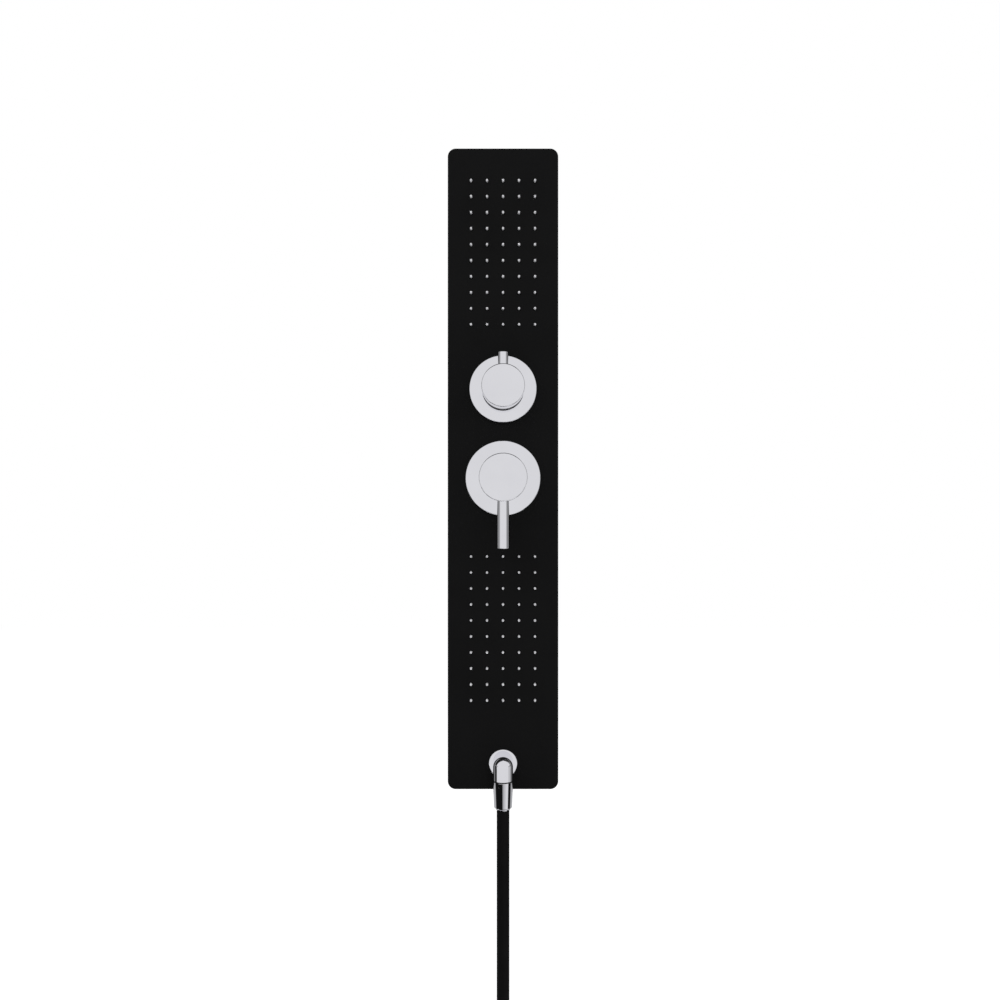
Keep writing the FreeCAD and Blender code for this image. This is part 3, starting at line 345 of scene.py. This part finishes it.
def hose_skin():
    """Smooth black skin with faint lines along the hose, drawn on its own length and girth."""
    made = finish("hose_skin", (0.0024, 0.0024, 0.0025), (0.0034, 0.0034, 0.0035), drift=35.0,
                  rough=(0.45, 0.58), grain=2400.0, depth=2e-5, specular=0.06)
    tree = made.node_tree
    place = tree.nodes.new("ShaderNodeTexCoord")
    squeeze = tree.nodes.new("ShaderNodeMapping")
    squeeze.inputs["Scale"].default_value = (30.0, 40.0, 1.0)
    noise = add(tree, "ShaderNodeTexNoise", Scale=1.0, Detail=1.0)
    join(tree, place.outputs["UV"], squeeze.inputs["Vector"])
    join(tree, squeeze.outputs["Vector"], noise.inputs["Vector"])
    emboss(made, noise.outputs["Fac"], 4e-5)
    return made


def strap_cloth():
    """Plain weave on the strap's own length and width: crests where sin(u) sin(v) is high."""
    made = finish("strap_cloth", (0.010, 0.010, 0.011), (0.020, 0.020, 0.022), drift=150.0,
                  rough=(0.75, 0.92), grain=3000.0, depth=4e-5, specular=0.2)
    tree = made.node_tree
    axes = axes_of(tree, "UV")
    yarn = math.pi / yarn_width
    warp = reckon(tree, "SINE", reckon(tree, "MULTIPLY", axes["X"], yarn), 0.0)
    weft = reckon(tree, "SINE", reckon(tree, "MULTIPLY", axes["Y"], yarn), 0.0)
    emboss(made, reckon(tree, "MULTIPLY", warp, weft), 2e-4)
    return made


finishes = {
    "panel_black": finish("satin_black_coat", (0.0029, 0.0029, 0.0030), (0.0041, 0.0041, 0.0042), drift=9.0,
                          rough=(0.40, 0.50), grain=1800.0, depth=2e-5, specular=0.06, drops=0.05),
    "chrome": polished_chrome("polished_chrome"),
    "nozzle_silicone": finish("pale_silicone", (0.62, 0.62, 0.64), (0.75, 0.75, 0.77), drift=120.0,
                              rough=(0.38, 0.50), grain=2600.0, depth=3e-5),
    "raw_brass": machined_brass("machined_brass"),
    "chamber_plastic": finish("grey_moulding", (0.26, 0.27, 0.29), (0.32, 0.33, 0.35), drift=22.0,
                              rough=(0.42, 0.55), grain=1400.0, depth=6e-5),
    "cartridge_plastic": finish("natural_moulding", (0.62, 0.60, 0.54), (0.70, 0.68, 0.62), drift=60.0,
                                rough=(0.35, 0.45), grain=1600.0, depth=4e-5),
    "disc_ceramic": finish("lapped_ceramic", (0.72, 0.70, 0.66), (0.80, 0.78, 0.74), drift=90.0,
                           rough=(0.10, 0.18), grain=3000.0, depth=1e-5),
    "plain_steel": zinc_steel("zinc_plated_steel"),
    "seal_rubber": finish("black_seal_rubber", (0.012, 0.012, 0.012), (0.020, 0.020, 0.020), drift=80.0,
                          rough=(0.55, 0.70), grain=2200.0, depth=6e-5, specular=0.3),
    "stop_plastic": finish("black_moulding", (0.010, 0.010, 0.011), (0.015, 0.015, 0.016), drift=70.0,
                           rough=(0.48, 0.60), grain=1500.0, depth=4e-5, specular=0.3),
    "hose_black": hose_skin(),
    "tube_plastic": finish("pale_tube", (0.55, 0.58, 0.60), (0.66, 0.69, 0.71), drift=40.0,
                           rough=(0.25, 0.35), grain=1200.0, depth=1e-5),
    "tie_fabric": strap_cloth(),
}
own_finishes = {
    # The elbow's chrome gets a painted shade line at its foot, over the top of the hose nut
    "outlet_elbow": with_painted_joint_shade(polished_chrome("chrome_with_painted_joint_shade"), nut_top),
    "mixer_body": threaded(machined_brass("threaded_brass"), depth=1e-3, pitch=inlet_thread_pitch,
                           start=inlet_thread_start),
    "clamp_studs": threaded(zinc_steel("threaded_steel"), depth=4e-4, pitch=stud_thread_pitch),
}
for piece in frame["record"]["subparts"]:
    node = frame["nodes"][piece["node"]]
    node.data.materials.clear()
    node.data.materials.append(own_finishes.get(piece["node"], finishes[piece["material_slot"]]))


def piece_from_grid(name, points, u, v, slot):
    """A closed tube from an array of sections (rows) by profile points (columns), capped at both ends,
    with u along its rows and v along its columns as its UV map."""
    rows, columns = points.shape[:2]
    row = np.arange(rows - 1)[:, None]
    column = np.arange(columns)[None, :]
    after = (column + 1) % columns
    corners = [row * columns + column, (row + 1) * columns + column,
               (row + 1) * columns + after, row * columns + after]
    first = np.arange(columns)
    last = first[::-1] + (rows - 1) * columns
    mesh = bpy.data.meshes.new(name)
    mesh.from_pydata(points.reshape(-1, 3).tolist(), [],
                     np.stack(corners, axis=-1).reshape(-1, 4).tolist() + [first.tolist(), last.tolist()])
    across = np.broadcast_arrays(u[row], v[column], u[row + 1], v[column + 1])
    side = np.stack([across[k] for k in (0, 1, 2, 1, 2, 3, 0, 3)], axis=-1).reshape(-1, 2)
    ends = np.concatenate([np.column_stack([np.full(columns, u[0]), v[first]]),
                           np.column_stack([np.full(columns, u[-1]), v[first[::-1]]])])
    mesh.uv_layers.new(name="UVMap").data.foreach_set("uv", np.concatenate([side, ends]).ravel())
    mesh.shade_smooth()
    made = bpy.data.objects.new(name, mesh)
    bpy.context.collection.objects.link(made)
    mesh.materials.append(finishes[slot])
    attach(made, "panel_assembly")
    return made


def rounded_loop(length_along, half_x, half_y, corner):
    """Places and outward headings on a rectangle with round corners, by length along it from the middle
    of its front side: straight stretches keep their heading, corners turn it a quarter left."""
    flat_x = 2 * (half_x - corner)
    flat_y = 2 * (half_y - corner)
    quarter = corner * math.pi / 2
    spans = np.array([flat_x / 2, quarter, flat_y, quarter, flat_x, quarter, flat_y, quarter, flat_x / 2])
    turns = np.array([0, 1, 0, 1, 0, 1, 0, 1, 0]) * math.pi / 2
    first = np.concatenate([[0.0], np.cumsum(turns)[:-1]])
    begin = np.concatenate([[0.0], np.cumsum(spans)[:-1]])
    step_x = np.where(turns > 0, corner * (np.sin(first + turns) - np.sin(first)), spans * np.cos(first))
    step_y = np.where(turns > 0, corner * (np.cos(first) - np.cos(first + turns)), spans * np.sin(first))
    from_x = np.concatenate([[0.0], np.cumsum(step_x)[:-1]])
    from_y = -half_y + np.concatenate([[0.0], np.cumsum(step_y)[:-1]])
    place = np.mod(length_along, spans.sum())
    k = np.clip(np.searchsorted(begin, place, side="right") - 1, 0, len(spans) - 1)
    local = place - begin[k]
    heading = first[k] + turns[k] * local / spans[k]
    bend_x = corner * (np.sin(heading) - np.sin(first[k]))
    bend_y = corner * (np.cos(first[k]) - np.cos(heading))
    x = from_x[k] + np.where(turns[k] > 0, bend_x, local * np.cos(first[k]))
    y = from_y[k] + np.where(turns[k] > 0, bend_y, local * np.sin(first[k]))
    return np.column_stack([x, y]), np.column_stack([np.sin(heading), -np.cos(heading)]), spans.sum()


def make_strap():
    """A flat strap carried once round the waist of the hank and on over its own start. Its section is a
    superellipse, cos and sin to the power strap_squareness, and it climbs over itself before the overlap."""
    low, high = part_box("hose_tie")
    centre_y = (low[1] + high[1]) / 2
    half_x = (high[0] - low[0]) / 2 - strap_thickness / 2
    half_y = (high[1] - low[1]) / 2 - strap_thickness / 2
    corner = hose_radius + strap_gap
    around = rounded_loop(np.zeros(1), half_x, half_y, corner)[2]
    along = np.linspace(0.0, around + strap_overlap, strap_sections)
    place, outward, _ = rounded_loop(along, half_x, half_y, corner)
    climb = np.clip((along - around + strap_climb) / strap_climb, 0, 1)
    lift = overlap_lift * climb ** 2 * (3 - 2 * climb)
    turn = np.linspace(0, 2 * math.pi, strap_profile + 1)[:-1]
    across = strap_thickness / 2 * np.sign(np.cos(turn)) * np.abs(np.cos(turn)) ** strap_squareness
    upward = strap_width / 2 * np.sign(np.sin(turn)) * np.abs(np.sin(turn)) ** strap_squareness
    flat = place[:, None, :] + outward[:, None, :] * (lift[:, None] + across[None, :])[:, :, None]
    points = np.empty((len(along), len(turn), 3))
    points[:, :, 0] = flat[:, :, 0]
    points[:, :, 1] = centre_y + flat[:, :, 1]
    points[:, :, 2] = waist_z + upward[None, :]
    sides = np.hypot(np.diff(across, append=across[0]), np.diff(upward, append=upward[0]))
    girth = np.concatenate([[0.0], np.cumsum(sides)])
    strap = piece_from_grid("hank_strap", points, along, girth, "tie_fabric")
    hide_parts("hose_tie")
    return strap


def hank_route():
    """Control points of the folded hose. Each fold is an arc of fold_radius about a centre half_run above
    or below the waist. Each run flares in to the waist on a larger arc tangent to both folds, and climbs
    one layer towards the wall as it goes."""
    flare = (waist ** 2 + half_run ** 2 - fold_radius ** 2) / (2 * (fold_radius - waist))
    lean = math.atan2(half_run, waist + flare)
    run_turns = lean * np.array([0.0, 0.33, 0.67])
    fold_turns = np.linspace(-lean, math.pi + lean, 11)
    outer = fold_radius / math.cos((fold_turns[1] - fold_turns[0]) / 2)
    climb = layer / 2 * np.sin(run_turns / lean * math.pi / 2)
    route = [np.array([[0, hose_y, hose_low - 0.030], [-0.4 * waist, hose_y, hose_low - 0.090],
                       [-waist, hose_y, waist_z + 0.045]])]
    y = hose_y
    side, way = -1, -1
    for fold_number in range(2):
        rise = climb if fold_number else np.zeros_like(climb)
        route.append(np.stack([side * (waist + flare * (1 - np.cos(run_turns))), y + rise,
                               waist_z + way * flare * np.sin(run_turns)], axis=1))
        y += layer / 2 if fold_number else 0.0
        route.append(np.stack([side * outer * np.cos(fold_turns), np.full(fold_turns.shape, y),
                               waist_z + way * (half_run + outer * np.sin(fold_turns))], axis=1))
        back = run_turns[:0:-1]
        route.append(np.stack([-side * (waist + flare * (1 - np.cos(back))), y + layer / 2 - climb[:0:-1],
                               waist_z + way * flare * np.sin(back)], axis=1))
        y += layer / 2
        side, way = -side, -way
    last_y = y + layer / 2
    end_z = waist_z - hank_tail
    route.append(np.array([[-waist, y, waist_z], [-waist, y + 0.35 * layer, waist_z - 0.045],
                           [-waist, last_y, end_z + 0.050], [-waist, last_y, end_z + 0.020],
                           [-waist, last_y, end_z]]))
    return np.concatenate(route)


def make_hose(strap):
    """One smooth curve: straight down from the outlet, then through the hank to its end nut."""
    straight = [[0, hose_y, z] for z in (hose_top, *hose_levels, hose_low)]
    points = np.concatenate([np.array(straight), hank_route()])
    curve = bpy.data.curves.new("shower_hose", "CURVE")
    curve.dimensions = "3D"
    curve.bevel_depth = hose_radius
    curve.bevel_resolution = hose_steps
    curve.use_fill_caps = True
    curve.resolution_u = hose_steps
    spline = curve.splines.new("NURBS")
    spline.points.add(len(points) - 1)
    spline.points.foreach_set("co", np.column_stack([points, np.ones(len(points))]).ravel())
    spline.order_u = 3
    spline.use_endpoint_u = True
    hose = bpy.data.objects.new("shower_hose", curve)
    bpy.context.collection.objects.link(hose)
    curve.materials.append(finishes["hose_black"])
    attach(hose, "panel_assembly")
    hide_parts("hose", "hose_hank")


make_hose(make_strap())


def grey_stops(tree, along, stops):
    """Grey levels at set places along a value from 0 to 1, blended in between; gives the colour."""
    band = tree.nodes.new("ShaderNodeValToRGB")
    while len(band.color_ramp.elements) < len(stops):
        band.color_ramp.elements.new(0.5)
    for element, (where, level) in zip(band.color_ramp.elements, stops):
        element.position = where
        element.color = (level, level, level, 1.0)
    join(tree, along, band.inputs["Fac"])
    return band.outputs["Color"]


def studio_world():
    """White for the camera, even grey for soft light and, for reflections, a bright front that falls to
    a dark band at each side, with a pale back and a dark ceiling."""
    world = bpy.data.worlds.new("studio")
    bpy.context.scene.world = world
    world.use_nodes = True
    tree = world.node_tree
    tree.nodes.clear()
    out = tree.nodes.new("ShaderNodeOutputWorld")
    path = tree.nodes.new("ShaderNodeLightPath")
    axes = axes_of(tree, "Generated")
    sideways = reckon(tree, "ABSOLUTE", axes["X"], 0.0)
    forward = reckon(tree, "MULTIPLY", axes["Y"], -1.0)
    turned = reckon(tree, "DIVIDE", reckon(tree, "ARCTAN2", sideways, forward), math.pi)
    front_to_back = [(0.0, 0.82), (0.322, 0.82), (0.356, 0.55), (0.456, 0.36), (0.50, 0.22), (0.58, 0.20),
                     (0.62, 0.42), (0.76, 0.45), (1.0, 0.50)]
    band = grey_stops(tree, turned, front_to_back)
    soft = add(tree, "ShaderNodeBackground", Color=(0.75, 0.75, 0.76, 1.0))
    mirrored = tree.nodes.new("ShaderNodeBackground")
    ceiling = add(tree, "ShaderNodeMapRange", From_Min=0.55, From_Max=0.80, To_Min=1.0, To_Max=0.03)
    white = add(tree, "ShaderNodeBackground", Color=(1.0, 1.0, 1.0, 1.0))
    glossy = tree.nodes.new("ShaderNodeMixShader")
    seen = tree.nodes.new("ShaderNodeMixShader")
    join(tree, band, mirrored.inputs["Color"])
    join(tree, axes["Z"], ceiling.inputs["Value"])
    join(tree, ceiling.outputs["Result"], mirrored.inputs["Strength"])
    join(tree, path.outputs["Is Glossy Ray"], glossy.inputs["Fac"])
    join(tree, soft.outputs["Background"], glossy.inputs[1])
    join(tree, mirrored.outputs["Background"], glossy.inputs[2])
    join(tree, path.outputs["Is Camera Ray"], seen.inputs["Fac"])
    join(tree, glossy.outputs["Shader"], seen.inputs[1])
    join(tree, white.outputs["Background"], seen.inputs[2])
    join(tree, seen.outputs["Shader"], out.inputs["Surface"])


def studio_lamp(name, place, power):
    """A soft square lamp that looks at the panel and leaves no glint of its own on the chrome."""
    data = bpy.data.lights.new(name, "AREA")
    data.size = lamp_size
    data.energy = power
    lamp = bpy.data.objects.new(name, data)
    lamp.location = place
    lamp.rotation_euler = (-lamp.location).to_track_quat("-Z", "Y").to_euler()
    lamp.visible_glossy = False
    bpy.context.collection.objects.link(lamp)


def stage_sheet(name, points, columns):
    """A stage surface from a grid of points, columns wide."""
    count = len(points) // columns
    row = np.arange(count - 1)[:, None] * columns
    column = np.arange(columns - 1)[None, :]
    corner = (row + column).ravel()
    faces = np.stack([corner, corner + 1, corner + 1 + columns, corner + columns], axis=-1)
    mesh = bpy.data.meshes.new(name)
    mesh.from_pydata(points.tolist(), [], faces.tolist())
    made = bpy.data.objects.new(name, mesh)
    bpy.context.collection.objects.link(made)
    material = bpy.data.materials.new(name)
    material.use_nodes = True
    mesh.materials.append(material)
    return made, material.node_tree, material.node_tree.nodes["Principled BSDF"]


def studio_floor():
    """A pale floor under the hank, lifted to white for the camera, that keeps the soft shadow."""
    ends = (-floor_span, floor_span)
    corners = np.array([(x, y, floor_z) for y in ends for x in ends])
    _, tree, shader = stage_sheet("pale_floor", corners, 2)
    shader.inputs["Base Color"].default_value = (0.74, 0.74, 0.74, 1.0)
    shader.inputs["Roughness"].default_value = 0.9
    shader.inputs["Specular IOR Level"].default_value = 0.0
    shader.inputs["Emission Color"].default_value = (1.0, 1.0, 1.0, 1.0)
    path = tree.nodes.new("ShaderNodeLightPath")
    glow = reckon(tree, "MULTIPLY", path.outputs["Is Camera Ray"], floor_glow)
    join(tree, glow, shader.inputs["Emission Strength"])


def glow_card(name, points, columns):
    """A card whose front glows at its own level and whose back is clear, seen only in reflections; gives
    its nodes and its shader."""
    card, tree, shader = stage_sheet(name, points, columns)
    shader.inputs["Base Color"].default_value = (0.0, 0.0, 0.0, 1.0)
    shader.inputs["Specular IOR Level"].default_value = 0.0
    shader.inputs["Emission Strength"].default_value = 1.0
    sides = tree.nodes.new("ShaderNodeNewGeometry")
    clear = tree.nodes.new("ShaderNodeBsdfTransparent")
    shown = tree.nodes.new("ShaderNodeMixShader")
    join(tree, sides.outputs["Backfacing"], shown.inputs["Fac"])
    join(tree, shader.outputs["BSDF"], shown.inputs[1])
    join(tree, clear.outputs["BSDF"], shown.inputs[2])
    join(tree, shown.outputs["Shader"], tree.nodes["Material Output"].inputs["Surface"])
    card.visible_camera = False
    card.visible_diffuse = False
    card.visible_shadow = False
    return tree, shader


def level_card(name, level_z, corners, grey):
    """A level card over the outlet that glows downwards, from its two back corners to its two front ones."""
    _, shader = glow_card(name, np.array([(x, y, level_z) for x, y in corners]), 2)
    shader.inputs["Emission Color"].default_value = (grey, grey, grey, 1.0)


def outlet_top_cards():
    """A pale card over the outlet, its back edge at a slant, and a dark one just over it at the left."""
    pale_z = -0.250
    pale_corners = [(-0.45, -0.135), (0.45, -0.049), (-0.45, -0.36), (0.45, -0.36)]
    dark_z = -0.249
    dark_corners = [(-0.60, 0.25), (-0.075, 0.25), (-0.60, -0.13), (-0.075, -0.13)]
    level_card("outlet_front_card", pale_z, pale_corners, grey=0.81)
    level_card("outlet_side_card", dark_z, dark_corners, grey=0.02)


def outlet_back_card():
    """A grey band close before the face, up from the foot at one side of the outlet, along a half ellipse
    over it and down at the other side; darkest over the top. Each edge has its half width and its rise."""
    inner = (0.042, 0.031)
    outer = (0.069, 0.044)
    off_face = 0.001
    drop = 0.0047
    low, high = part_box("outlet_elbow")
    centre_z = high[2] - (high[0] - low[0]) / 2 - drop
    foot_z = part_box("front_panel")[0][2]
    turn = np.linspace(0, math.pi, 33)
    lines = []
    for half_width, rise in (outer, inner):
        x = np.concatenate([[half_width], half_width * np.cos(turn), [-half_width]])
        z = np.concatenate([[foot_z], centre_z + rise * np.sin(turn), [foot_z]])
        lines.append(np.column_stack([x, np.full(len(x), face_y - off_face), z]))
    tree, shader = glow_card("outlet_back_card", np.concatenate(lines), len(lines[0]))
    across = reckon(tree, "DIVIDE", axes_of(tree, "Object")["X"], 2 * outer[0])
    along = reckon(tree, "ADD", across, 0.5)
    levels = [(0.0, 0.26), (0.33, 0.26), (0.43, 0.01), (0.57, 0.01), (0.67, 0.14), (1.0, 0.14)]
    join(tree, grey_stops(tree, along, levels), shader.inputs["Emission Color"])


def outlet_surround():
    """A ring of pale and dark cards about the outlet, seen only in reflections. Its levels follow the
    turn about the hose, in degrees from the front, and differ above and below its split."""
    radius = 0.70
    ring_top = -0.30
    ring_foot = floor_z + 0.002
    split = -0.636
    low_cards = [(-180, 0.55), (-112, 0.50), (-100, 0.35), (-96, 0.007), (-8, 0.007), (-5, 0.30), (2, 0.42),
                 (12, 0.55), (30, 0.70), (42, 0.81), (61, 0.78), (64, 0.007), (97, 0.007), (101, 0.30),
                 (115, 0.45), (180, 0.55)]
    high_cards = [(-180, 0.26), (-108, 0.26), (-103, 0.02), (-78, 0.02), (-74, 0.80), (0, 0.81), (60, 0.81),
                  (66, 0.62), (92, 0.56), (100, 0.20), (135, 0.13), (150, 0.20), (180, 0.40)]
    turn = np.radians(np.linspace(-180, 180, 97))
    ring = np.stack([radius * np.sin(turn), hose_y - radius * np.cos(turn)], axis=1)
    low = np.column_stack([ring, np.full(len(turn), ring_foot)])
    high = np.column_stack([ring, np.full(len(turn), ring_top)])
    tree, shader = glow_card("outlet_cards", np.concatenate([high, low]), len(turn))
    axes = axes_of(tree, "Object")
    forward = reckon(tree, "SUBTRACT", hose_y, axes["Y"])
    whole_turn = reckon(tree, "DIVIDE", reckon(tree, "ARCTAN2", axes["X"], forward), 2 * math.pi)
    along = reckon(tree, "ADD", whole_turn, 0.5)
    level = colour_mix(tree, reckon(tree, "GREATER_THAN", axes["Z"], split))
    for socket, stops in (("A", low_cards), ("B", high_cards)):
        placed = [((degrees + 180) / 360, grey) for degrees, grey in stops]
        join(tree, grey_stops(tree, along, placed), level.inputs[socket])
    join(tree, level.outputs["Result"], shader.inputs["Emission Color"])


def photo_camera():
    """Square on to the panel, a little below its middle."""
    data = bpy.data.cameras.new("camera")
    data.sensor_width = camera_sensor
    data.lens = camera_lens
    camera = bpy.data.objects.new("camera", data)
    camera.location = (camera_x, face_y - camera_from_face, camera_z)
    camera.rotation_euler = (math.pi / 2, 0, 0)
    bpy.context.collection.objects.link(camera)
    bpy.context.scene.camera = camera


studio_world()
for lamp_name, (lamp_place, lamp_power) in lamps.items():
    studio_lamp(lamp_name, lamp_place, lamp_power)
studio_floor()
outlet_surround()
outlet_top_cards()
outlet_back_card()
photo_camera()
bpy.context.scene.view_settings.view_transform = "Standard"
